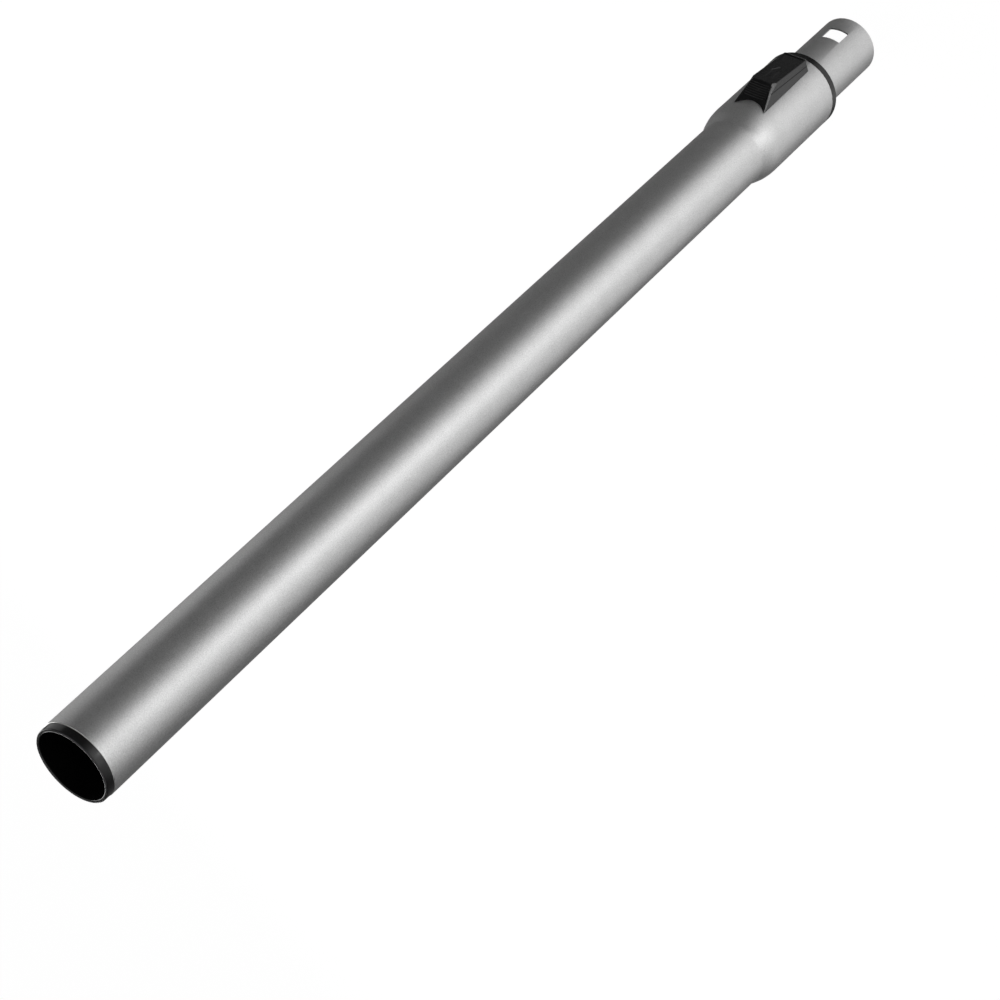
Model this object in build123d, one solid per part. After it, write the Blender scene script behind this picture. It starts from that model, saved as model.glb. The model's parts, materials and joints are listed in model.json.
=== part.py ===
"""Telescopic vacuum-cleaner wand, collapsed: a steel tube that slides inside a wider one.

X runs along the tubes from the handle socket's mouth to the nozzle end, Z points to the
release button, and the origin is the centre of the mouth. Sizes are in millimetres.
"""
import math
import os

from build123d import *

# Outer tube: plain at the handle end, widened at the other end to house the lock
outer_radius = 19.5
outer_wall = 0.9
mouth_lip = 4.2  # how far the plastic socket stands out of the steel
housing_radius = 22.9
housing_end = 604.5
housing_length = 57.5  # the straight part of the widened end
flare_hollow = 6.0  # radius of the hollow bend at the flare's start
flare_crown = 38.0  # radius of the crowned bend at the flare's end

# Inner tube
inner_radius = 17.6
inner_wall = 0.9
exposed_length = 56.0  # inner tube in front of the collar when the wand is collapsed
spigot_radius = 17.375  # reduced end that the floor nozzle slips over
spigot_length = 54.0
spigot_taper = 1.5
swage_radius = 16.7  # reduced hidden end that carries the end guide
swage_taper = 1.5
latch_window_size = 11.4  # square hole for the nozzle's catch
latch_window_margin = 13.2  # from the tip to the hole's near edge
latch_window_corner = 0.6

# Detents: a flat-bottomed channel along the inner tube with notches across it
stroke = 396.0
notch_count = 19
notch_depth = 1.5  # below the channel's floor
channel_half_width = 5.0
channel_depth = 1.7  # from the tube's crown to the channel's floor
channel_bend = 0.8  # radius along the channel's floor
channel_rear_margin = 8.0  # channel left behind the last notch

# Lock bolt and its cross pin
bolt_setback = 32.5  # from the housing's end back to the bolt
bolt_half_width = 4.4
nose_radius = 2.2
bolt_lift = 2.0
cross_pin_radius = 1.2
cross_pin_rise = 0.5  # above the housing's skin when locked
bolt_head = 1.2  # bolt left above the cross pin
bolt_running = 0.2  # clearance of the bolt in its pocket

# Release button. Rises are counted from the housing's skin
button_travel = 4.0
button_gap = 5.5  # from the housing's end back to the button's front
button_length = 52.7
button_heel = 5.0  # from the horns' ends to the foot of the finger face
finger_slope = 40.6  # degrees from the axis
finger_hollow = 28.0  # radius of the hollow across the finger face
button_rear_rise = 9.9  # of the sloping top, taken back to the horns' ends
button_nose_rise = 4.7
block_foot_rear = 8.0  # half widths of the raised block, which narrow towards its top
block_foot_front = 8.0
block_half_rear = 7.4
block_half_front = 7.1
block_edge = 0.8
skirt_half_rear = 9.65
skirt_half_front = 9.3
skirt_rear_rise = 5.1
skirt_front_rise = 0.9
skirt_ledge = 0.2  # the skirt's upper edge stands this far out of the block's side
skirt_overhang = 0.6  # how far the block's front stands behind the skirt's
foot_corner = 2.2
rim_width = 0.95
rim_height = 0.3
rib_pitch = 1.3
rib_half_width = 0.35
rib_height = 0.35
rib_half_angle = 12.4
bevel_depth = 0.3  # of the strips beside the finger face
rib_margin = 2.6  # smooth finger face left at the heel and at the ridge
button_wall = 1.5
cavity_half_width = 6.2

# Slide under the housing's window, which carries the button and lifts the bolt
window_half_width = 6.6
window_heel_gap = 5.7  # from the finger face's foot to the window
window_front_gap = 5.0  # from the window to the button's front
window_corner = 1.5
slide_tail = 5.2  # slide left behind the window
slide_thickness = 1.4
slide_half_angle = 26.0
cheek_inner = 5.0
cheek_thickness = 1.1
cheek_behind = 9.4  # cheek behind the bolt
cheek_ahead = 8.0  # cheek in front of the bolt
cheek_rear_rise = 5.2
cheek_front_rise = 3.3
cam_clearance = 0.25
lug_length = 2.7
lug_angle = 44.5
lug_root = 1.0  # degrees that the lug reaches into the slide
hook_thickness = 1.6
hook_half_width = 3.2
hook_catch = 0.7
rear_hook_gap = 2.6  # from the window's rear edge to the rear hook's middle
front_hook_gap = 6.8  # the same at the window's front edge

# Guide shells, rear bearing, collar and wiper
guide_clearance = 0.3  # between pieces that slide on each other
guide_fit = 0.1  # between the guide shells and the housing
guide_chamfer = 1.0
relief_depth = 2.0  # how far the guide is cut down under the slide
relief_angle = 28.5
key_half_width = 4.6
key_clearance = 0.4
key_chamfer = 0.9
bearing_inset = 3.0  # from the flare's start to the bearing ring
bearing_fit = 0.2  # between the bearing ring and the flare
bearing_steps = 3
bearing_overlap = 0.5  # bearing ring that stands short of the flare's end
collar_seat = 6.0  # collar inside the housing
collar_band = 4.5  # collar in front of the housing
collar_proud = 0.05  # collar's band above the housing's skin
collar_edge = 0.45
wiper_inset = 2.1  # from the collar's inner end to the wiper
wiper_width = 2.8
wiper_depth = 2.2
wiper_swell = 0.05  # how far the wiper stands proud of the collar's bore

# Return springs
spring_turns = 6
spring_length = 18.0
spring_outer_radius = 1.5
spring_wire = 0.45
spring_wire_sides = 6
spring_angle = 41.0
spring_bed = 0.4  # guide left under the springs' grooves
spring_room = 0.25
groove_half_angle = 4.7

# Handle socket
socket_bore = 17.55
socket_depth = 40.0
socket_stop = 3.0
socket_stop_bore = 16.6
socket_lip_radius = 19.2
socket_lip_edge = 0.8
socket_lead_in = 0.6

# End guide on the hidden end of the inner tube, and its seal
end_guide_radius = 18.3
end_guide_gap = 0.7  # to the rear bearing when the wand is fully out
end_guide_length = 18.0
end_flange = 1.2
end_seal_width = 4.0
end_seal_depth = 1.0
end_seal_place = 7.0
end_lug_radius = 1.6
end_lug_place = 14.5
end_lug_fit = 0.1

# Radii and heights worked out from the values above
housing_bore = housing_radius - outer_wall
outer_bore = outer_radius - outer_wall
guide_bore = inner_radius + guide_clearance
guide_radius = housing_bore - guide_fit
relief_radius = guide_radius - relief_depth
slide_radius = housing_bore - guide_clearance
slide_bore = slide_radius - slide_thickness
channel_floor = inner_radius - channel_depth
notch_radius = nose_radius + guide_clearance
nose_height = channel_floor - notch_depth + notch_radius
cross_pin_height = housing_radius + cross_pin_rise
button_rear_height = housing_radius + button_rear_rise
button_nose_height = housing_radius + button_nose_rise
cheek_outer = cheek_inner + cheek_thickness
spring_floor = guide_bore + spring_bed
spring_axis = spring_floor + spring_room + spring_outer_radius
reach = 2 * housing_radius  # larger than the wand is across
overlap_cut = 1.0  # how far a cut runs past the surface it starts from

# Places along the axis worked out from the values above
flare_angle = math.acos(1 - (housing_radius - outer_radius) / (flare_hollow + flare_crown))
flare_end = housing_end - housing_length
flare_start = flare_end - (flare_hollow + flare_crown) * math.sin(flare_angle)
collar_front = housing_end + collar_band
tip = collar_front + exposed_length
guide_front = housing_end - collar_seat
guide_rear = flare_end - bearing_overlap
wiper_rear = guide_front + wiper_inset
bearing_rear = flare_start + bearing_inset
bolt_place = housing_end - bolt_setback
button_front = housing_end - button_gap
button_rear = button_front - button_length
block_front = button_front - skirt_overhang
heel_place = button_rear + button_heel
window_rear = heel_place + window_heel_gap
window_front = button_front - window_front_gap
slide_rear = window_rear - slide_tail
slide_front = window_front
button_fall = (button_nose_rise - button_rear_rise) / (block_front - button_rear)
hook_places = (window_rear + rear_hook_gap, window_front - front_hook_gap)
spring_rear = bolt_place + nose_radius
spring_front = spring_rear + spring_length
notch_pitch = stroke / (notch_count - 1)
channel_rear = bolt_place - stroke - channel_rear_margin
channel_front = guide_front + guide_clearance
end_guide_front = bearing_rear - end_guide_gap - stroke
inner_rear = end_guide_front - end_guide_length


def turned(*outline):
    """A solid of revolution about the tubes' axis, from points (along, radius)."""
    return revolve(make_face(Polyline(*outline, close=True)), Axis.X)


def pipe(x0, x1, r0, r1):
    """A plain ring between two places along the axis."""
    return turned((x0, r0), (x1, r0), (x1, r1), (x0, r1))


def sector(x0, x1, r0, r1, a0, a1):
    """A piece of a ring between two angles, counted from the button's middle line."""
    section = make_face(Polyline((x0, r0), (x1, r0), (x1, r1), (x0, r1), close=True))
    return Rot(X=90 + a0) * revolve(section, Axis.X, a1 - a0)


def block(x0, x1, half_width, z0, z1):
    """A box centred on the middle line."""
    box = Box(x1 - x0, 2 * half_width, z1 - z0, align=(Align.MIN, Align.CENTER, Align.MIN))
    return Pos(x0, 0, z0) * box


def plate(outline, y0, y1):
    """A plate across the wand, from points (along, height)."""
    face = Plane.XZ * make_face(Polyline(*outline, close=True))
    return Pos(0, y1, 0) * extrude(face, amount=y1 - y0)


def cross_rod(x, z, radius, y0, y1):
    """A round bar across the wand."""
    return Pos(x, (y0 + y1) / 2, z) * Rot(X=90) * Cylinder(radius, y1 - y0)


def both_sides(shape):
    return shape + mirror(shape, Plane.XZ)


def tube_edges(inset):
    """The outer tube's profile, moved inwards by inset: tube, hollow bend, crown, housing."""
    turn = math.degrees(flare_angle)
    hollow = CenterArc((flare_start, outer_radius + flare_hollow), flare_hollow + inset, -90, turn)
    crown = CenterArc((flare_end, housing_radius - flare_crown), flare_crown - inset, 90, turn)
    return [
        Line((mouth_lip, outer_radius - inset), hollow @ 0),
        hollow,
        crown,
        Line(crown @ 0, (housing_end, housing_radius - inset)),
    ]


def make_outer_tube():
    skin, bore = tube_edges(0), tube_edges(outer_wall)
    ends = [Line(skin[0] @ 0, bore[0] @ 0), Line(skin[3] @ 1, bore[3] @ 1)]
    tube = revolve(Face(Wire(skin + bore + ends)), Axis.X)
    length = window_front - window_rear
    opening = RectangleRounded(length, 2 * window_half_width, window_corner)
    middle = (window_rear + window_front) / 2
    return tube - Pos(middle, 0, 0) * extrude(opening, amount=reach)


def make_socket_sleeve():
    lip_front = socket_lip_radius - socket_lip_edge
    end = socket_depth + socket_stop
    return turned(
        (0, socket_bore + socket_lead_in),
        (socket_lead_in, socket_bore),
        (socket_depth, socket_bore),
        (socket_depth, socket_stop_bore),
        (end, socket_stop_bore),
        (end, outer_bore),
        (mouth_lip, outer_bore),
        (mouth_lip, socket_lip_radius),
        (socket_lip_edge, socket_lip_radius),
        (0, lip_front),
    )


def channel_void(grow):
    """The space that the pressed channel and its notches take, grown by a wall."""
    channel = block(
        channel_rear - grow, channel_front + grow, channel_half_width + grow,
        channel_floor - grow, reach,
    )
    floor = channel.faces().sort_by(Axis.Z)[0].edges()
    void = fillet(floor, channel_bend + grow)
    for step in range(notch_count):
        x = bolt_place - step * notch_pitch
        half = channel_half_width + grow
        void += cross_rod(x, nose_height, notch_radius + grow, -half, half)
    return void


def make_inner_tube():
    spigot_rear = tip - spigot_length
    swage_front = end_guide_front + end_guide_gap
    def profile(inset):
        return [
            (inner_rear, swage_radius - inset),
            (swage_front, swage_radius - inset),
            (swage_front + swage_taper, inner_radius - inset),
            (spigot_rear - spigot_taper, inner_radius - inset),
            (spigot_rear, spigot_radius - inset),
            (tip, spigot_radius - inset),
        ]
    body = turned((inner_rear, 0), *profile(0), (tip, 0)) - channel_void(0)
    bore = turned((inner_rear, 0), *profile(inner_wall), (tip, 0)) - channel_void(inner_wall)
    tube = body - bore
    window = RectangleRounded(latch_window_size, latch_window_size, latch_window_corner)
    middle = tip - latch_window_margin - latch_window_size / 2
    tube -= Pos(middle, 0, 0) * extrude(window, amount=reach)
    lug_hole = cross_rod(
        inner_rear + end_lug_place, 0, end_lug_radius + end_lug_fit, -reach, reach
    )
    return tube - lug_hole


def make_end_guide():
    """A split-free ring snapped over the swaged end, with a groove for the seal."""
    groove_rear = inner_rear + end_seal_place
    groove_front = groove_rear + end_seal_width
    groove_floor = end_guide_radius - end_seal_depth
    rear = inner_rear - end_flange
    ring = turned(
        (rear, swage_radius - inner_wall),
        (inner_rear, swage_radius - inner_wall),
        (inner_rear, swage_radius),
        (end_guide_front, swage_radius),
        (end_guide_front, end_guide_radius),
        (groove_front, end_guide_radius),
        (groove_front, groove_floor),
        (groove_rear, groove_floor),
        (groove_rear, end_guide_radius),
        (rear, end_guide_radius),
    )
    x = inner_rear + end_lug_place
    lug = cross_rod(x, 0, end_lug_radius, swage_radius - inner_wall, end_guide_radius)
    lug &= pipe(inner_rear, end_guide_front, 0, end_guide_radius)
    return ring + both_sides(lug)


def make_end_seal():
    rear = inner_rear + end_seal_place
    return pipe(rear, rear + end_seal_width, end_guide_radius - end_seal_depth, end_guide_radius)


def make_rear_bearing():
    """A low-friction ring seated in the flare, which also stops the end guide."""
    def crown(x):
        low = housing_radius - flare_crown
        inner = flare_crown - outer_wall - bearing_fit
        return low + math.sqrt(inner ** 2 - (flare_end - x) ** 2)
    pitch = (guide_rear - bearing_rear) / bearing_steps
    steps = [bearing_rear + step * pitch for step in range(bearing_steps + 1)]
    return turned(
        (guide_rear, guide_bore), (bearing_rear, guide_bore), *((x, crown(x)) for x in steps)
    )


def spring_grooves():
    """Both springs' grooves, with the room in which the slide's lugs push them."""
    inner, outer = spring_angle - groove_half_angle, spring_angle + groove_half_angle
    groove = sector(
        spring_rear - lug_length - spring_room, spring_front, spring_floor, reach, inner, outer
    )
    lug_room = sector(
        spring_rear - lug_length - 2 * spring_room,
        spring_rear + button_travel + 2 * spring_room,
        spring_floor, reach, slide_half_angle - lug_root, outer,
    )
    return both_sides(groove + lug_room)


def make_guide(upper):
    """One half of the guide. The upper half holds the key, the bolt pocket and the springs."""
    ring = turned(
        (guide_rear, guide_bore),
        (guide_front, guide_bore),
        (guide_front, guide_radius),
        (guide_rear + guide_chamfer, guide_radius),
        (guide_rear, guide_radius - guide_chamfer),
    )
    half = ring & block(guide_rear, guide_front, reach, 0 if upper else -reach, reach if upper else 0)
    if not upper:
        return half
    half -= sector(
        guide_rear - overlap_cut, guide_front + overlap_cut, relief_radius, reach,
        -relief_angle, relief_angle,
    )
    half -= spring_grooves()
    key = block(
        bolt_place + cheek_ahead, guide_front - key_clearance, key_half_width,
        channel_floor + key_clearance, guide_bore + guide_clearance,
    )
    floor_edges = key.faces().sort_by(Axis.Z)[0].edges().filter_by(Axis.X)
    half += chamfer(floor_edges, key_chamfer)
    room = nose_radius + bolt_running
    pocket = block(
        bolt_place - room, bolt_place + room, bolt_half_width + bolt_running, 0, reach
    )
    return half - pocket


def make_collar_ring():
    lip_radius = housing_radius + collar_proud
    groove_radius = guide_bore + wiper_depth
    groove_front = wiper_rear + wiper_width
    return turned(
        (guide_front, guide_bore),
        (wiper_rear, guide_bore),
        (wiper_rear, groove_radius),
        (groove_front, groove_radius),
        (groove_front, guide_bore),
        (collar_front, guide_bore),
        (collar_front, lip_radius - collar_edge),
        (collar_front - collar_edge, lip_radius),
        (housing_end, lip_radius),
        (housing_end, housing_bore),
        (guide_front, housing_bore),
    )


def make_wiper_ring():
    return pipe(
        wiper_rear, wiper_rear + wiper_width, guide_bore - wiper_swell, guide_bore + wiper_depth
    )


def make_return_spring(side):
    """A coil spring lying beside the bolt; side is 1 or -1."""
    radius = spring_outer_radius - spring_wire / 2
    helix = Helix(
        pitch=(spring_length - spring_wire) / spring_turns,
        height=spring_length - spring_wire,
        radius=radius,
    )
    section = Plane(helix @ 0, z_dir=helix % 0) * RegularPolygon(spring_wire / 2, spring_wire_sides)
    wire = sweep(section, helix, is_frenet=True)
    coil = Pos(spring_rear + spring_wire / 2, 0, 0) * Rot(Y=90) * wire
    return Rot(X=side * spring_angle) * Pos(0, 0, spring_axis) * coil


def make_slide():
    """The curved plate under the window, with cam cheeks and the lugs that push the springs."""
    slide = sector(
        slide_rear, slide_front, slide_bore, slide_radius, -slide_half_angle, slide_half_angle
    )
    cheek = plate(
        (
            (bolt_place - cheek_behind, slide_bore),
            (bolt_place + cheek_ahead, slide_bore),
            (bolt_place + cheek_ahead, housing_radius + cheek_front_rise),
            (bolt_place - cheek_behind, housing_radius + cheek_rear_rise),
        ),
        cheek_inner, cheek_outer,
    )
    cam_radius = cross_pin_radius + cam_clearance
    low = (bolt_place, cross_pin_height)
    high = (bolt_place - button_travel, cross_pin_height + bolt_lift)
    slot = Plane.XZ * SlotCenterToCenter(
        math.hypot(button_travel, bolt_lift), 2 * cam_radius,
        rotation=-math.degrees(math.atan(bolt_lift / button_travel)),
    )
    slot = Pos((low[0] + high[0]) / 2, reach, (low[1] + high[1]) / 2) * extrude(slot, amount=2 * reach)
    slide += both_sides(cheek)
    slide -= slot
    lug = sector(
        spring_rear - lug_length, spring_rear, spring_floor + spring_room, slide_radius,
        slide_half_angle - lug_root, lug_angle,
    )
    slide += both_sides(lug)
    room = nose_radius + 2 * bolt_running
    slide -= block(
        bolt_place - button_travel - room, bolt_place + room, cheek_inner - bolt_running,
        0, slide_radius + slide_thickness,
    )
    for x in hook_places:
        slide -= hook(x, bolt_running)
    return slide


def hook(x, grow):
    """A snap leg of the button and its catch under the slide, grown by a clearance."""
    half = hook_thickness / 2 + grow
    root = button_top(x) - button_wall
    leg = block(x - half, x + half, hook_half_width + grow, slide_bore, root)
    catch = block(
        x - half, x + half + hook_catch, hook_half_width + grow, slide_bore, slide_bore + hook_catch
    )
    return leg + catch


def button_top(x):
    """Height of the button's sloping top at a place along the axis."""
    return button_rear_height + button_fall * (x - button_rear)


def cross_section(x, half_low, half_high, low, high):
    """A four-sided section across the wand."""
    outline = ((-half_low, low), (half_low, low), (half_high, high), (-half_high, high))
    return Plane((x, 0, 0), x_dir=(0, 1, 0), z_dir=(1, 0, 0)) * make_face(Polyline(*outline, close=True))


def block_side(foot, half, top, height):
    """The raised block's half width at a height, in a section that narrows to its top."""
    return foot + (half - foot) * (height - slide_bore) / (top - slide_bore)


def finger_face_tool():
    """The round bar that hollows the ribbed finger face, and the ribs left in it."""
    heel = Vector(heel_place, 0, housing_radius)
    tilt = math.radians(finger_slope)
    slope = Vector(1, 0, 0).rotate(Axis.Y, -finger_slope)
    outward = Vector(0, 0, 1).rotate(Axis.Y, -finger_slope)
    seat = Plane(heel + outward * finger_hollow, x_dir=-outward, z_dir=slope)
    bar = seat * Cylinder(finger_hollow, 2 * reach)
    ridge = (button_rear_rise + button_fall * button_heel) / (
        math.sin(tilt) - button_fall * math.cos(tilt)
    )
    count = int((ridge - 2 * rib_margin) / rib_pitch) + 1
    ribs = Part()
    for step in range(count):
        along = rib_margin + step * rib_pitch
        bead = Plane.XZ * make_face(
            Polyline(
                (finger_hollow + rib_height, along - rib_half_width),
                (finger_hollow - rib_height, along),
                (finger_hollow + rib_height, along + rib_half_width),
                close=True,
            )
        )
        ribs += Rot(Z=-rib_half_angle) * revolve(bead, Axis.Z, 2 * rib_half_angle)
    return bar, seat * ribs


def bevel_tool():
    """A half space that bevels one side of the finger face, from the horn to the ridge."""
    rise = button_rear_height - housing_radius
    ridge = Vector(heel_place + rise / math.tan(math.radians(finger_slope)), block_half_rear, 0)
    ridge.Z = button_top(ridge.X)
    horn = Vector(button_rear, skirt_half_rear, math.sqrt(housing_radius ** 2 - skirt_half_rear ** 2))
    outward = Vector(0, 0, 1).rotate(Axis.Y, -finger_slope)
    along = (ridge - horn).normalized()
    facing = outward + Vector(0, 1, 0)
    facing = (facing - along * facing.dot(along)).normalized()
    seat = Plane(ridge - facing * bevel_depth, x_dir=along, z_dir=facing)
    return seat * Box(reach, reach, reach, align=(Align.CENTER, Align.CENTER, Align.MIN))


def make_button():
    low = slide_bore
    upper = loft(
        [
            cross_section(button_rear, block_foot_rear, block_half_rear, low, button_rear_height),
            cross_section(block_front, block_foot_front, block_half_front, low, button_nose_height),
        ],
        ruled=True,
    )
    top = upper.faces().sort_by(Axis.Z)[-1]
    front = upper.faces().sort_by(Axis.X)[-1]
    sides = front.edges().sort_by(Axis.Y)
    upper = fillet([sides[0], sides[-1]], foot_corner - skirt_overhang)
    top = upper.faces().sort_by(Axis.Z)[-1]
    rear_edge = top.edges().sort_by(Axis.X)[0]
    upper = fillet([edge for edge in top.edges() if edge != rear_edge], block_edge)
    skirt_rear = housing_radius + skirt_rear_rise
    skirt_front = housing_radius + skirt_front_rise
    ledge_rear = block_side(block_foot_rear, block_half_rear, button_rear_height, skirt_rear)
    ledge_front = block_side(block_foot_front, block_half_front, button_nose_height, skirt_front)
    skirt = loft(
        [
            cross_section(button_rear, skirt_half_rear, ledge_rear + skirt_ledge, low, skirt_rear),
            cross_section(button_front, skirt_half_front, ledge_front + skirt_ledge, low, skirt_front),
        ],
        ruled=True,
    )
    front = skirt.faces().sort_by(Axis.X)[-1]
    sides = front.edges().sort_by(Axis.Y)
    skirt = fillet([sides[0], sides[-1]], foot_corner)
    button = upper + skirt
    bar, ribs = finger_face_tool()
    button -= bar
    button -= both_sides(bevel_tool())
    panel_front = block_front - rim_width - block_edge
    panel_half = block_half_front - rim_width - block_edge / 2
    panel = plate(
        (
            (button_rear, button_top(button_rear) - rim_height),
            (panel_front, button_top(panel_front) - rim_height),
            (panel_front, reach),
            (button_rear, reach),
        ),
        -panel_half, panel_half,
    )
    button -= panel
    button += ribs & block(button_rear, block_front, reach, 0, reach)
    button -= cavity()
    for x in hook_places:
        button += hook(x, 0)
    foot = pipe(button_rear - reach, button_front + reach, 0, housing_radius + bolt_running)
    legs = Part()
    for x in hook_places:
        legs += hook(x, 0)
    return (button - foot) + legs


def cavity():
    """The hollow of the button, under the finger face and the top."""
    lift = button_wall / math.cos(math.radians(finger_slope))
    rise = math.tan(math.radians(finger_slope))
    rear = window_rear
    def roof(x):
        return button_top(x) - button_wall - rim_height
    def face(x):
        return housing_radius + (x - heel_place) * rise - lift
    front = block_front - button_wall
    corner = heel_place + (roof(rear) - housing_radius + lift) / rise
    heel = heel_place + (lift + bolt_running) / rise
    return plate(
        (
            (heel, 0),
            (front, 0),
            (front, roof(front)),
            (corner, roof(corner)),
            (heel, face(heel)),
        ),
        -cavity_half_width, cavity_half_width,
    )


def make_lock_bolt():
    top = cross_pin_height + cross_pin_radius + bolt_head
    body = block(
        bolt_place - nose_radius, bolt_place + nose_radius, bolt_half_width, nose_height, top
    )
    nose = cross_rod(bolt_place, nose_height, nose_radius, -bolt_half_width, bolt_half_width)
    hole = cross_rod(bolt_place, cross_pin_height, cross_pin_radius, -reach, reach)
    return body + nose - hole


def make_cross_pin():
    return cross_rod(bolt_place, cross_pin_height, cross_pin_radius, -cheek_outer, cheek_outer)


nodes = {
    "outer_tube": make_outer_tube,
    "handle_socket_sleeve": make_socket_sleeve,
    "rear_bearing_ring": make_rear_bearing,
    "upper_guide_shell": lambda: make_guide(True),
    "lower_guide_shell": lambda: make_guide(False),
    "collar_ring": make_collar_ring,
    "wiper_ring": make_wiper_ring,
    "left_return_spring": lambda: make_return_spring(1),
    "right_return_spring": lambda: make_return_spring(-1),
    "release_button": make_button,
    "cam_slide": make_slide,
    "lock_bolt": make_lock_bolt,
    "bolt_cross_pin": make_cross_pin,
    "inner_tube": make_inner_tube,
    "end_guide": make_end_guide,
    "end_seal": make_end_seal,
}

# The wand is drawn along X, button up, and stored standing on its nozzle end, socket up
standing = Pos(0, 0, tip) * Rot(Y=90)
os.makedirs("parts", exist_ok=True)
for name, make in nodes.items():
    export_step(make().moved(standing), f"parts/{name}.step")
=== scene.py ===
import json
import math
import bmesh
import bpy
from mathutils import Matrix, Vector
from mathutils.bvhtree import BVHTree

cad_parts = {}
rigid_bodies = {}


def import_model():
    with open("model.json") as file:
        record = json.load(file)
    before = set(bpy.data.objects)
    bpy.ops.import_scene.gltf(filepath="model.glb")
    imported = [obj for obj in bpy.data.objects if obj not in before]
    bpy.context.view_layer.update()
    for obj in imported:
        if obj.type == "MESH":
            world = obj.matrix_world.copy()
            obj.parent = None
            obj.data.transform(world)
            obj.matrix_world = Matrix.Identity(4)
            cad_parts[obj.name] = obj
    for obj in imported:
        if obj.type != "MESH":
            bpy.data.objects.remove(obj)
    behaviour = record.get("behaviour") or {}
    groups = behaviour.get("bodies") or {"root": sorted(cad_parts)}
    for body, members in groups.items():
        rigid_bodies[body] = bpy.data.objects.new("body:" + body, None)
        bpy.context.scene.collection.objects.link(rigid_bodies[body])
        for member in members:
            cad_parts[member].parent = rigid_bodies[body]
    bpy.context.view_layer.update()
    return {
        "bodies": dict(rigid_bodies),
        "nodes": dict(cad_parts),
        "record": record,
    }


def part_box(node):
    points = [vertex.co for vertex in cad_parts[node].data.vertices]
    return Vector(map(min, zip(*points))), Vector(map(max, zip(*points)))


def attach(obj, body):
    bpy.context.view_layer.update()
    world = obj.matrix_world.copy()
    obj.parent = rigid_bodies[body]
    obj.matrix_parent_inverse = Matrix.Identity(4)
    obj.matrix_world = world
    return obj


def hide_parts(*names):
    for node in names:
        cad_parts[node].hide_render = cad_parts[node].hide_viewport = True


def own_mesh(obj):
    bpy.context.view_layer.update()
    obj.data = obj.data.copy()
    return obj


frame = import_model()
record = frame["record"]
mm = 0.001

# Camera, fitted to the photograph's main view
cameraFit = {
    "place": (0.7246, -0.4796, 1.08057),
    "right": (0.01577, -0.82611, -0.56329),
    "up": (0.73013, 0.39441, -0.55799),
    "lens": 83.708,
}


def makeCamera(fit):
    data = bpy.data.cameras.new("photoCamera")
    data.lens = fit["lens"]
    data.sensor_width = 36
    data.clip_start, data.clip_end = 0.05, 30
    camera = bpy.data.objects.new("photoCamera", data)
    bpy.context.scene.collection.objects.link(camera)
    right = Vector(fit["right"]).normalized()
    up = Vector(fit["up"])
    up = (up - right * up.dot(right)).normalized()
    back = right.cross(up)
    turn = Matrix((right, up, back)).transposed().to_4x4()
    camera.matrix_world = Matrix.Translation(fit["place"]) @ turn
    bpy.context.scene.camera = camera


makeCamera(cameraFit)
print("camera placed")

# Angles are azimuths in degrees, other sizes are in metres
studio = {
    "floorSize": 8.0,
    "floorColor": 0.86,
    "floorLift": 0.96,  # how much of the floor the camera sees as plain white
    "floorWhite": 1.031,  # strength of that white, which with the lit rest comes to 1
    "ambient": 0.13,
    "aimHeight": 0.33,  # the wand's middle, which the lamps face
    "aimDrop": 0.4,  # share of the slope towards it that each lamp is tilted by
    # azimuth, distance, height, width, length, watts
    "lamps": {
        "keyStrip": (-58, 1.0, -0.05, 0.80, 1.50, 2.2),
        "leftFill": (84, 1.2, 0.08, 1.30, 0.45, 1.1),
        "rimSpark": (100, 1.2, 1.05, 0.60, 0.25, 2.2),
        "boreSpark": (136, 1.2, 0.63, 1.20, 0.60, 10.0),
        "bevelSpark": (-56, 2.0, -0.38, 0.20, 0.20, 1.2),
    },
    # Dark cards out of view keep the white surround off the wand's flanks. Each edge is a
    # height and the azimuths between which they stand there, fading to white over the ramps
    "cards": {
        "radius": 2.2,
        "steps": 96,
        "tone": 0.125,
        "ramps": (30, 46),
        "edges": [
            (2.6, -47, 282), (-0.25, -45, 280), (-0.5, -39, 266), (-0.9, -34, 250), (-1.6, -29, 245),
            (-5, -28, 248),
        ],
    },
}


def nodeTree(material):
    material.use_nodes = True
    tree = material.node_tree
    tree.nodes.clear()
    return tree


def seesBackground(tree):
    ray = tree.nodes.new("ShaderNodeLightPath")
    total = ray.outputs["Is Camera Ray"]
    for kind in ("Is Glossy Ray", "Is Transmission Ray"):
        most = tree.nodes.new("ShaderNodeMath")
        most.operation = "MAXIMUM"
        tree.links.new(total, most.inputs[0])
        tree.links.new(ray.outputs[kind], most.inputs[1])
        total = most.outputs[0]
    return total


# One shader for light's own rays, another for the rays that see the background
def mixForBackground(tree, out, lit, seen, share=1.0):
    amount = tree.nodes.new("ShaderNodeMath")
    amount.operation = "MULTIPLY"
    amount.inputs[1].default_value = share
    mix = tree.nodes.new("ShaderNodeMixShader")
    tree.links.new(seesBackground(tree), amount.inputs[0])
    tree.links.new(amount.outputs[0], mix.inputs[0])
    tree.links.new(lit.outputs[0], mix.inputs[1])
    tree.links.new(seen.outputs[0], mix.inputs[2])
    tree.links.new(mix.outputs[0], out.inputs["Surface"])


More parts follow.
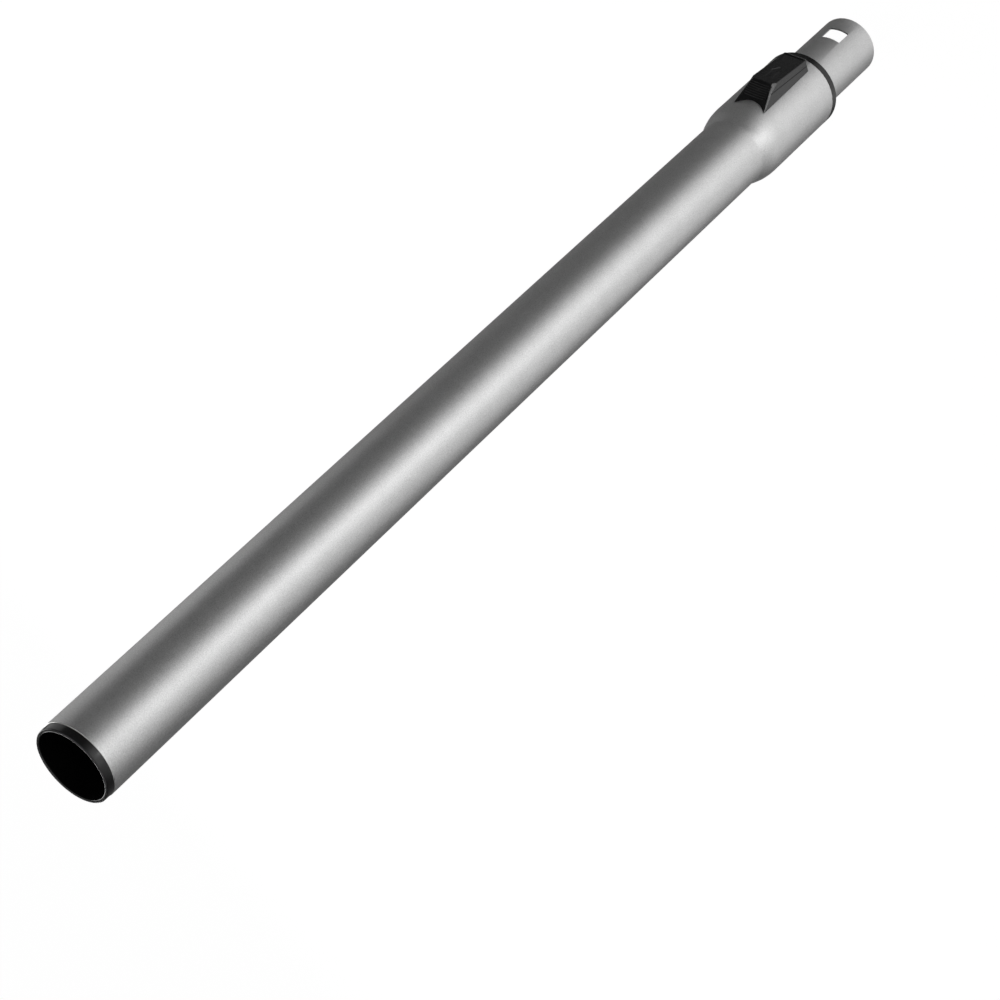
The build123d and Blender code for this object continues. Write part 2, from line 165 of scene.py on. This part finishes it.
def makeStudio(values):
    half = values["floorSize"] / 2
    mesh = bpy.data.meshes.new("studioFloor")
    corners = [(-half, -half, 0), (half, -half, 0), (half, half, 0), (-half, half, 0)]
    mesh.from_pydata(corners, [], [(0, 1, 2, 3)])
    floor = bpy.data.objects.new("studioFloor", mesh)
    bpy.context.scene.collection.objects.link(floor)
    material = bpy.data.materials.new("paleFloor")
    tree = nodeTree(material)
    out = tree.nodes.new("ShaderNodeOutputMaterial")
    paint = tree.nodes.new("ShaderNodeBsdfDiffuse")
    paint.inputs["Color"].default_value = (values["floorColor"],) * 3 + (1,)
    white = tree.nodes.new("ShaderNodeEmission")
    white.inputs["Strength"].default_value = values["floorWhite"]
    mixForBackground(tree, out, paint, white, values["floorLift"])
    mesh.materials.append(material)
    floor.visible_glossy = False
    floor.visible_shadow = False
    floor.parent = frame["bodies"]["sliding_tube"]  # the wand stands on this tube's end

    world = bpy.data.worlds.new("studioWorld")
    bpy.context.scene.world = world
    world.use_nodes = True
    tree = world.node_tree
    tree.nodes.clear()
    out = tree.nodes.new("ShaderNodeOutputWorld")
    dim = tree.nodes.new("ShaderNodeBackground")
    dim.inputs["Color"].default_value = (1, 1, 1, 1)
    dim.inputs["Strength"].default_value = values["ambient"]
    white = tree.nodes.new("ShaderNodeBackground")
    white.inputs["Color"].default_value = (1, 1, 1, 1)
    mixForBackground(tree, out, dim, white)

    for name, (azimuth, distance, height, width, length, watts) in values["lamps"].items():
        data = bpy.data.lights.new(name, "AREA")
        data.shape = "RECTANGLE"
        data.size, data.size_y = width, length
        data.energy = watts
        lamp = bpy.data.objects.new(name, data)
        bpy.context.scene.collection.objects.link(lamp)
        angle = math.radians(azimuth)
        place = Vector((math.cos(angle) * distance, math.sin(angle) * distance, height))
        aim = Vector((0, 0, values["aimHeight"])) - place
        aim.z *= values["aimDrop"]
        turn = aim.to_track_quat("-Z", "Y").to_matrix().to_4x4()
        lamp.matrix_world = Matrix.Translation(place) @ turn


def makeCards(values):
    steps = values["steps"]
    left, right = values["ramps"]
    corners, faces, tones = [], [], []
    for row, (height, start, end) in enumerate(values["edges"]):
        for step in range(steps + 1):
            azimuth = start + (end - start) * step / steps
            angle = math.radians(azimuth)
            corners.append((math.cos(angle) * values["radius"],
                            math.sin(angle) * values["radius"], height))
            inside = min((azimuth - start) / left, (end - azimuth) / right, 1)
            tones.append(1 + (values["tone"] - 1) * inside)
            if row and step:
                last = len(corners) - 1
                above = last - steps - 1
                faces.append((above - 1, above, last, last - 1))
    mesh = bpy.data.meshes.new("darkCards")
    mesh.from_pydata(corners, [], faces)
    shade = mesh.attributes.new("cardTone", "FLOAT", "POINT")
    shade.data.foreach_set("value", tones)
    cards = bpy.data.objects.new("darkCards", mesh)
    bpy.context.scene.collection.objects.link(cards)
    material = bpy.data.materials.new("darkCard")
    tree = nodeTree(material)
    out = tree.nodes.new("ShaderNodeOutputMaterial")
    paint = tree.nodes.new("ShaderNodeEmission")
    tone = tree.nodes.new("ShaderNodeAttribute")
    tone.attribute_name = "cardTone"
    tree.links.new(tone.outputs["Fac"], paint.inputs["Strength"])
    tree.links.new(paint.outputs[0], out.inputs["Surface"])
    mesh.materials.append(material)
    cards.visible_camera = False
    cards.visible_diffuse = False
    cards.visible_transmission = False
    cards.visible_shadow = False


makeCards(studio["cards"])
makeStudio(studio)
bpy.context.scene.view_settings.view_transform = "Standard"
print("studio ready")

finishes = {
    "silver": {
        "dark": (0.40, 0.40, 0.40),
        "light": (0.70, 0.70, 0.70),
        "roughness": (0.36, 0.50),
        "grain": 2600,
        "mottle": 90,
        "mottleShare": 0.12,
        "flakeRange": (0.34, 0.78),
        "metal": 0.92,
        "bump": 0.00003,
    },
    "plainSteel": {
        "dark": (0.528, 0.528, 0.52),
        "light": (0.66, 0.66, 0.65),
        "roughness": (0.16, 0.28),
        "grain": 1500,
    },
    "blackPlastic": {
        "color": (0.006, 0.006, 0.0065),
        "roughness": (0.17, 0.27),
        "tint": (0.85, 1.15),
        "patches": 60,
        "grain": 1400,
        "bump": 0.000004,
        "gloss": 0.38,
    },
    "guidePlastic": {
        "color": (0.66, 0.65, 0.61),
        "roughness": (0.36, 0.50),
        "tint": (0.85, 1.15),
        "patches": 60,
        "grain": 700,
        "bump": 0.00002,
        "gloss": 0.5,
    },
    "feltRing": {
        "dark": (0.0275, 0.0275, 0.0275),
        "light": (0.088, 0.088, 0.088),
        "roughness": 0.95,
        "sheen": 0.3,
        "grain": 900,
        "bump": 0.0003,
    },
}


# A material's nodes, wired by short calls
class Sheet:
    def __init__(self, name):
        self.material = bpy.data.materials.new(name)
        self.tree = nodeTree(self.material)
        self.out = self.add("OutputMaterial")
        self.paint = self.add("BsdfPrincipled")
        self.link(self.paint.outputs[0], self.out.inputs["Surface"])
        self.place = self.add("TexCoord").outputs["Object"]

    def add(self, kind):
        return self.tree.nodes.new("ShaderNode" + kind)

    def link(self, a, b):
        self.tree.links.new(a, b)

    def noise(self, scale, detail=3.0, roughness=0.6):
        node = self.add("TexNoise")
        node.inputs["Scale"].default_value = scale
        node.inputs["Detail"].default_value = detail
        node.inputs["Roughness"].default_value = roughness
        self.link(self.place, node.inputs["Vector"])
        return node.outputs["Fac"]

    def spread(self, value, low, high, fromLow=0.3, fromHigh=0.7):
        node = self.add("MapRange")
        node.inputs["From Min"].default_value = fromLow
        node.inputs["From Max"].default_value = fromHigh
        node.inputs["To Min"].default_value = low
        node.inputs["To Max"].default_value = high
        self.link(value, node.inputs["Value"])
        return node.outputs["Result"]

    def blend(self, share, dark, light):
        node = self.add("Mix")
        node.data_type = "RGBA"
        node.inputs["A"].default_value = (*dark, 1)
        node.inputs["B"].default_value = (*light, 1)
        self.link(share, node.inputs["Factor"])
        return node.outputs["Result"]

    def bump(self, height, distance, strength=1.0):
        node = self.add("Bump")
        node.inputs["Strength"].default_value = strength
        node.inputs["Distance"].default_value = distance
        self.link(height, node.inputs["Height"])
        self.link(node.outputs["Normal"], self.paint.inputs["Normal"])


# Satin metallic lacquer: fine bright flakes over steel
def silverFinish(values):
    sheet = Sheet("silverLacquer")
    flakes = sheet.noise(values["grain"], 2.0, 0.7)
    mottle = sheet.noise(values["mottle"], 3.0)
    both = sheet.add("Math")
    both.operation = "MULTIPLY_ADD"
    both.inputs[1].default_value = values["mottleShare"]
    sheet.link(mottle, both.inputs[0])
    sheet.link(flakes, both.inputs[2])
    share = sheet.spread(both.outputs[0], 0, 1, *values["flakeRange"])
    sheet.link(sheet.blend(share, values["dark"], values["light"]), sheet.paint.inputs["Base Color"])
    rough = sheet.spread(flakes, *values["roughness"])
    sheet.link(rough, sheet.paint.inputs["Roughness"])
    sheet.paint.inputs["Metallic"].default_value = values["metal"]
    sheet.bump(flakes, values["bump"])
    return sheet.material


def steelFinish(values):
    sheet = Sheet("springSteel")
    grain = sheet.noise(values["grain"])
    tint = sheet.spread(grain, 0, 1)
    sheet.link(sheet.blend(tint, values["dark"], values["light"]), sheet.paint.inputs["Base Color"])
    rough = sheet.spread(grain, *values["roughness"])
    sheet.link(rough, sheet.paint.inputs["Roughness"])
    sheet.paint.inputs["Metallic"].default_value = 1.0
    return sheet.material


def plasticFinish(name, values):
    sheet = Sheet(name)
    grain = sheet.noise(values["grain"], 2.0)
    patches = sheet.noise(values["patches"], 2.0)
    dark, light = ([c * tint for c in values["color"]] for tint in values["tint"])
    sheet.link(sheet.blend(sheet.spread(patches, 0, 1), dark, light), sheet.paint.inputs["Base Color"])
    rough = sheet.spread(grain, *values["roughness"])
    sheet.link(rough, sheet.paint.inputs["Roughness"])
    sheet.paint.inputs["Specular IOR Level"].default_value = values["gloss"]
    sheet.bump(grain, values["bump"])
    return sheet.material


def feltFinish(values):
    sheet = Sheet("feltRing")
    fibres = sheet.noise(values["grain"], 6.0, 0.8)
    tint = sheet.spread(fibres, 0, 1)
    sheet.link(sheet.blend(tint, values["dark"], values["light"]), sheet.paint.inputs["Base Color"])
    sheet.paint.inputs["Roughness"].default_value = values["roughness"]
    sheet.paint.inputs["Sheen Weight"].default_value = values["sheen"]
    sheet.bump(fibres, values["bump"])
    return sheet.material


materials = {
    "silver_finish": silverFinish(finishes["silver"]),
    "bare_steel": steelFinish(finishes["plainSteel"]),
    "black_plastic": plasticFinish("satinBlackPlastic", finishes["blackPlastic"]),
    "guide_plastic": plasticFinish("paleGuidePlastic", finishes["guidePlastic"]),
    "felt": feltFinish(finishes["feltRing"]),
}
for part in record["subparts"]:
    body = frame["nodes"][part["node"]].data
    body.materials.clear()
    body.materials.append(materials[part["material_slot"]])
print("finishes set")


def newPiece(name, mesh, body, slot):
    piece = bpy.data.objects.new(name, mesh)
    bpy.context.scene.collection.objects.link(piece)
    if not mesh.materials:
        mesh.materials.append(materials[slot])
    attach(piece, body)
    return piece


def smoothByAngle(mesh, degrees):
    for face in mesh.polygons:
        face.use_smooth = True
    mesh.set_sharp_from_angle(angle=math.radians(degrees))


# Shades a worked copy as its CAD mesh is shaded, and its new faces flat. A CAD normal counts
# where it leans from the face by about 20 degrees at most
def keepNormals(mesh, source, alike=0.94):
    def place(vertex):
        return tuple(round(value / mm, 3) for value in vertex.co)

    known = {}
    for corner, normal in zip(source.loops, source.corner_normals):
        known.setdefault(place(source.vertices[corner.vertex_index]), []).append(normal.vector.copy())
    normals = []
    for face in mesh.polygons:
        for vertex in face.vertices:
            near = known.get(place(mesh.vertices[vertex]), [face.normal])
            best = max(near, key=face.normal.dot)
            normals.append(best if best.dot(face.normal) > alike else face.normal)
    for face in mesh.polygons:
        face.use_smooth = True
    mesh.normals_split_custom_set(normals)


# A copy of a CAD node's mesh with its triangles joined, which may be worked on
def mergedCopy(node, reach=0.002 * mm):
    work = bmesh.new()
    work.from_mesh(frame["nodes"][node].data)
    bmesh.ops.remove_doubles(work, verts=work.verts, dist=reach)
    return work


def asMesh(work, name):
    bmesh.ops.recalc_face_normals(work, faces=work.faces)
    mesh = bpy.data.meshes.new(name)
    work.to_mesh(mesh)
    work.free()
    return mesh


# Cut ends of the tubes: bare steel shows on their rounded edges. Heights and radii are in mm
cutEdges = {
    "outerTube": {
        "node": "outer_tube", "body": "wand_body", "slot": "silver_finish",
        "rims": [(660.8, 19.5)], "round": 0.35, "segments": 4,
    },
    "innerTube": {
        "node": "inner_tube", "body": "sliding_tube", "slot": "silver_finish",
        "rims": [(0, 17.375)], "round": 0.25, "segments": 3,
    },
}


def roundedTube(name, values):
    work = mergedCopy(values["node"])
    near = 0.05 * mm
    chosen = []
    for edge in work.edges:
        for height, radius in values["rims"]:
            ends = [abs(v.co.z - height * mm) < near and
                    abs(math.hypot(v.co.x, v.co.y) - radius * mm) < near for v in edge.verts]
            if all(ends):
                chosen.append(edge)
    bmesh.ops.bevel(work, geom=chosen, offset=values["round"] * mm, segments=values["segments"],
                    profile=0.5, affect="EDGES", clamp_overlap=True, material=1)
    mesh = asMesh(work, name)
    mesh.materials.append(materials[values["slot"]])
    mesh.materials.append(materials["bare_steel"])
    smoothByAngle(mesh, 30)
    piece = newPiece(name, mesh, values["body"], values["slot"])
    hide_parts(values["node"])
    print(name, "rounded edges", len(chosen))


for name, values in cutEdges.items():
    roundedTube(name, values)

# Lining of the handle socket, turned about the wand's axis. Radii and depths are in mm
lining = {
    "bore": 17.55,
    "stopBore": 16.6,
    "stopDepth": 40.0,
    "lipRadius": 19.2,
    "lipDepth": 4.2,
    "skin": 18.6,  # outside of the lining, where it lies in the steel tube
    "lipRound": 0.6,
    "leadIn": 0.55,
    "footRound": 0.1,
    "cornerSteps": 6,
    "segments": 128,
}


def makeLining(values):
    low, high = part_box("handle_socket_sleeve")
    top = high[2] / mm
    bottom = low[2] / mm
    foot, soft, lead = values["footRound"], values["lipRound"], values["leadIn"]
    profile = [(values["stopBore"], bottom), (values["skin"], bottom),
               (values["skin"], top - values["lipDepth"]),
               (values["lipRadius"] - foot, top - values["lipDepth"]),
               (values["lipRadius"], top - values["lipDepth"] + foot)]
    steps = values["cornerSteps"]
    turns = [math.radians(90 * step / steps) for step in range(steps + 1)]
    profile += [(values["lipRadius"] - soft * (1 - math.cos(turn)),
                 top - soft * (1 - math.sin(turn))) for turn in turns]
    profile += [(values["bore"] + lead * (1 - math.sin(turn)),
                 top - lead * (1 - math.cos(turn))) for turn in turns]
    profile += [(values["bore"], top - values["stopDepth"]),
                (values["stopBore"], top - values["stopDepth"])]
    work = bmesh.new()
    rings = []
    for step in range(values["segments"]):
        turn = 2 * math.pi * step / values["segments"]
        rings.append([work.verts.new((r * mm * math.cos(turn), r * mm * math.sin(turn), z * mm))
                      for r, z in profile])
    for this, other in zip(rings, rings[1:] + rings[:1]):
        for first in range(len(profile)):
            second = (first + 1) % len(profile)
            work.faces.new((this[first], other[first], other[second], this[second]))
    mesh = asMesh(work, "socketLining")
    smoothByAngle(mesh, 35)
    piece = newPiece("socketLining", mesh, "wand_body", "black_plastic")
    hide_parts("handle_socket_sleeve")


makeLining(lining)
print("socket lining ready")


# Geometry Nodes: a tree with named inputs, whose result becomes a plain mesh
def makeGroup(name, inputs):
    group = bpy.data.node_groups.new(name, "GeometryNodeTree")
    for label, kind in inputs:
        group.interface.new_socket(label, in_out="INPUT", socket_type="NodeSocket" + kind)
    group.interface.new_socket("Geometry", in_out="OUTPUT", socket_type="NodeSocketGeometry")
    return group, group.nodes.new("NodeGroupInput"), group.nodes.new("NodeGroupOutput")


# Every tree's end: instances made real, the finish set, and the result handed out
def closeGroup(group, start, end, mesh):
    link = group.links.new
    real = group.nodes.new("GeometryNodeRealizeInstances")
    finish = group.nodes.new("GeometryNodeSetMaterial")
    link(mesh, real.inputs["Geometry"])
    link(real.outputs["Geometry"], finish.inputs["Geometry"])
    link(start.outputs["Finish"], finish.inputs["Material"])
    link(finish.outputs["Geometry"], end.inputs["Geometry"])


# A round bar along a curve
def barAlong(group, curve, radius, sides=12):
    ring = group.nodes.new("GeometryNodeCurvePrimitiveCircle")
    ring.inputs["Resolution"].default_value = sides
    bar = group.nodes.new("GeometryNodeCurveToMesh")
    bar.inputs["Fill Caps"].default_value = True
    group.links.new(radius, ring.inputs["Radius"])
    group.links.new(curve, bar.inputs["Curve"])
    group.links.new(ring.outputs["Curve"], bar.inputs["Profile Curve"])
    return bar.outputs["Mesh"]


def numberNode(group, operation, a, b):
    node = group.nodes.new("ShaderNodeMath")
    node.operation = operation
    for socket, value in zip(node.inputs, (a, b)):
        if isinstance(value, (int, float)):
            socket.default_value = value
        else:
            group.links.new(value, socket)
    return node.outputs[0]


def evaluated(name, group, settings):
    holder = bpy.data.objects.new(name + "Maker", bpy.data.meshes.new(name + "Maker"))
    bpy.context.scene.collection.objects.link(holder)
    modifier = holder.modifiers.new("maker", "NODES")
    modifier.node_group = group
    for item in group.interface.items_tree:
        if item.in_out == "INPUT":
            modifier[item.identifier] = settings[item.name]
    graph = bpy.context.evaluated_depsgraph_get()
    mesh = bpy.data.meshes.new_from_object(holder.evaluated_get(graph))
    mesh.name = name
    holder.modifiers.remove(modifier)
    bpy.data.objects.remove(holder)
    return mesh


# Arrow engraved in the button's sunk top, pointing to the collar. Places are in mm:
# along the wand, then across it
arrow = {
    "tip": (83.8, 0),
    "barb": (89.5, 2.75),
    "shaft": (90.2, 1.85),
    "tail": 98.2,
    "bars": (96.4, 94.2),
    "width": 0.34,
    "depth": 0.22,
    # moves of each groove's start and end, so that no two grooves' faces coincide
    "shifts": ((0.004, 0.003), (0.005, -0.004)),
}


def arrowLines(values):
    tip, barb, shaft = values["tip"], values["barb"], values["shaft"]
    lines = []
    for side in (1, -1):
        wing = (barb[0], side * barb[1])
        neck = (shaft[0], side * shaft[1])
        lines += [(tip, wing), (wing, neck), (neck, (values["tail"], neck[1]))]
    for place in (values["tail"], *values["bars"]):
        lines.append(((place, shaft[1]), (place, -shaft[1])))
    return lines


def grooveCutter(start, end, normal, width, depth):
    along = (end - start).normalized()
    side = along.cross(normal) * width / 2
    start, end = start - along * width / 3, end + along * width / 3
    work = bmesh.new()
    ends = []
    for place in (start, end):
        corners = (place + side * 2 + normal * depth, place - side * 2 + normal * depth,
                   place - normal * depth)
        ends.append([work.verts.new(corner) for corner in corners])
    work.faces.new(ends[0])
    work.faces.new(reversed(ends[1]))
    for first in range(3):
        second = (first + 1) % 3
        work.faces.new((ends[0][first], ends[1][first], ends[1][second], ends[0][second]))
    return asMesh(work, "groove")


def makeButton(values):
    mesh = asMesh(mergedCopy("release_button"), "releaseButton")
    piece = newPiece("releaseButton", mesh, "slider", "black_plastic")
    tree = BVHTree.FromPolygons([v.co for v in mesh.vertices], [f.vertices for f in mesh.polygons])

    def onTop(point):
        hit = tree.ray_cast(Vector((1, point[1] * mm, point[0] * mm)), Vector((-1, 0, 0)))
        return hit[0], hit[1]

    atStart, atEnd = values["shifts"]
    for count, (start, end) in enumerate(arrowLines(values)):
        first, normal = onTop(start)
        last = onTop(end)[0]
        first = first + Vector((0, atStart[0] * (count % 3 - 1), atStart[1] * (count % 2))) * mm
        last = last + Vector((0, atEnd[0] * (count % 2), atEnd[1] * (count % 3))) * mm
        shape = grooveCutter(first, last, normal, values["width"] * mm, values["depth"] * mm)
        cutter = bpy.data.objects.new("groove", shape)
        bpy.context.scene.collection.objects.link(cutter)
        modifier = piece.modifiers.new("groove", "BOOLEAN")
        modifier.object = cutter
        modifier.solver = "EXACT"
        graph = bpy.context.evaluated_depsgraph_get()
        carved = bpy.data.meshes.new_from_object(piece.evaluated_get(graph))
        piece.modifiers.clear()
        piece.data = carved
        bpy.data.objects.remove(cutter)
    keepNormals(piece.data, frame["nodes"]["release_button"].data)
    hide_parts("release_button")
    print("button faces", len(mesh.polygons), "engraved", len(piece.data.polygons))


makeButton(arrow)


# Return springs of round wire, with a closed turn at each end. Sizes are in mm
spring = {
    "turns": 7.0,
    "wire": 0.45,
    "travel": 4.0,  # the button's, by which the springs shorten
}


def springGroup():
    group, start, end = makeGroup("coilSpring", [
        ("Turns", "Float"), ("Coil Radius", "Float"), ("Wire Radius", "Float"),
        ("Length", "Float"), ("Finish", "Material")])
    link = group.links.new

    def number(operation, a, b):
        return numberNode(group, operation, a, b)

    def climb(share, begin, finish, rise):
        node = group.nodes.new("ShaderNodeMapRange")
        link(share, node.inputs["Value"])
        link(begin, node.inputs["From Min"])
        link(finish, node.inputs["From Max"])
        link(rise, node.inputs["To Max"])
        return node.outputs["Result"]

    coil = group.nodes.new("GeometryNodeCurveSpiral")
    coil.inputs["Resolution"].default_value = 28
    link(start.outputs["Turns"], coil.inputs["Rotations"])
    for endName in ("Start Radius", "End Radius"):
        link(start.outputs["Coil Radius"], coil.inputs[endName])
    coil.inputs["Height"].default_value = 0
    share = group.nodes.new("GeometryNodeSplineParameter").outputs["Factor"]
    closed = number("DIVIDE", 1.0, start.outputs["Turns"])
    opened = number("SUBTRACT", 1.0, closed)
    wire = number("MULTIPLY", start.outputs["Wire Radius"], 2.0)
    middle = number("SUBTRACT", start.outputs["Length"], number("MULTIPLY", wire, 3.0))
    none = number("MULTIPLY", closed, 0.0)
    whole = number("ADD", none, 1.0)
    height = number("ADD", climb(share, none, closed, wire), climb(share, closed, opened, middle))
    height = number("ADD", height, climb(share, opened, whole, wire))
    height = number("ADD", height, start.outputs["Wire Radius"])
    lift = group.nodes.new("ShaderNodeCombineXYZ")
    link(height, lift.inputs["Z"])
    place = group.nodes.new("GeometryNodeSetPosition")
    link(coil.outputs["Curve"], place.inputs["Geometry"])
    link(lift.outputs[0], place.inputs["Offset"])
    coiled = barAlong(group, place.outputs["Geometry"], start.outputs["Wire Radius"])
    closeGroup(group, start, end, coiled)
    return group


def makeSprings(values):
    group = springGroup()
    for side in ("left", "right"):
        node = side + "_return_spring"
        low, high = (Vector(corner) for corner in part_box(node))
        length = high.z - low.z
        wire = values["wire"] * mm / 2
        mesh = evaluated(side + "Spring", group, {
            "Turns": values["turns"],
            "Coil Radius": (high.x - low.x) / 2 - wire,
            "Wire Radius": wire,
            "Length": length,
            "Finish": materials["bare_steel"],
        })
        seat = Vector(((low.x + high.x) / 2, (low.y + high.y) / 2, low.z))
        mesh.transform(Matrix.Translation(seat))
        smoothByAngle(mesh, 50)
        piece = newPiece(side + "Spring", mesh, "wand_body", "bare_steel")
        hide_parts(node)
        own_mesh(piece)


makeSprings(spring)
print("springs ready")

# Ribs across the button's finger face, rounded, on the face's own slope. Sizes are in mm
grip = {
    "heel": (22.9, 113.7),  # height over the wand's axis and place along it
    "slope": 40.6,
    "hollow": 28.0,  # radius of the hollow face that the ribs follow
    "first": 2.6,  # from the heel to the first rib, along the slope
    "pitch": 1.3,
    "halfAngle": 13.6,  # of each rib's arc, in degrees
    "section": 0.42,  # each rib's own radius
    "count": 7,
}


def ribGroup():
    group, start, end = makeGroup("gripRibs", [
        ("Hollow", "Float"), ("Half Angle", "Float"), ("Section", "Float"),
        ("Step", "Vector"), ("Count", "Int"), ("Finish", "Material")])
    link = group.links.new
    arc = group.nodes.new("GeometryNodeCurveArc")
    arc.mode = "RADIUS"
    arc.inputs["Resolution"].default_value = 24
    link(start.outputs["Hollow"], arc.inputs["Radius"])
    half = start.outputs["Half Angle"]
    link(numberNode(group, "MULTIPLY", half, -1), arc.inputs["Start Angle"])
    link(numberNode(group, "MULTIPLY", half, 2), arc.inputs["Sweep Angle"])
    bead = barAlong(group, arc.outputs["Curve"], start.outputs["Section"])
    row = group.nodes.new("GeometryNodeMeshLine")
    link(start.outputs["Count"], row.inputs["Count"])
    link(start.outputs["Step"], row.inputs["Offset"])
    repeat = group.nodes.new("GeometryNodeInstanceOnPoints")
    link(row.outputs["Mesh"], repeat.inputs["Points"])
    link(bead, repeat.inputs["Instance"])
    closeGroup(group, start, end, repeat.outputs["Instances"])
    return group


def makeRibs(values):
    mesh = evaluated("gripRibs", ribGroup(), {
        "Hollow": values["hollow"] * mm,
        "Half Angle": math.radians(values["halfAngle"]),
        "Section": values["section"] * mm,
        "Step": (0, 0, values["pitch"] * mm),
        "Count": values["count"],
        "Finish": materials["black_plastic"],
    })
    # In the tree the arcs' axis is Z; here it lies along the slope, one hollow off the face
    tilt = math.radians(values["slope"])
    along = Vector((math.sin(tilt), 0, -math.cos(tilt)))
    outward = Vector((math.cos(tilt), 0, math.sin(tilt)))
    side = along.cross(-outward)
    turn = Matrix((-outward, side, along)).transposed().to_4x4()
    heel = Vector((values["heel"][0], 0, values["heel"][1])) * mm
    centre = heel + (outward * values["hollow"] + along * values["first"]) * mm
    mesh.transform(Matrix.Translation(centre) @ turn)
    smoothByAngle(mesh, 50)
    newPiece("gripRibs", mesh, "slider", "black_plastic")


makeRibs(grip)
print("ribs ready")
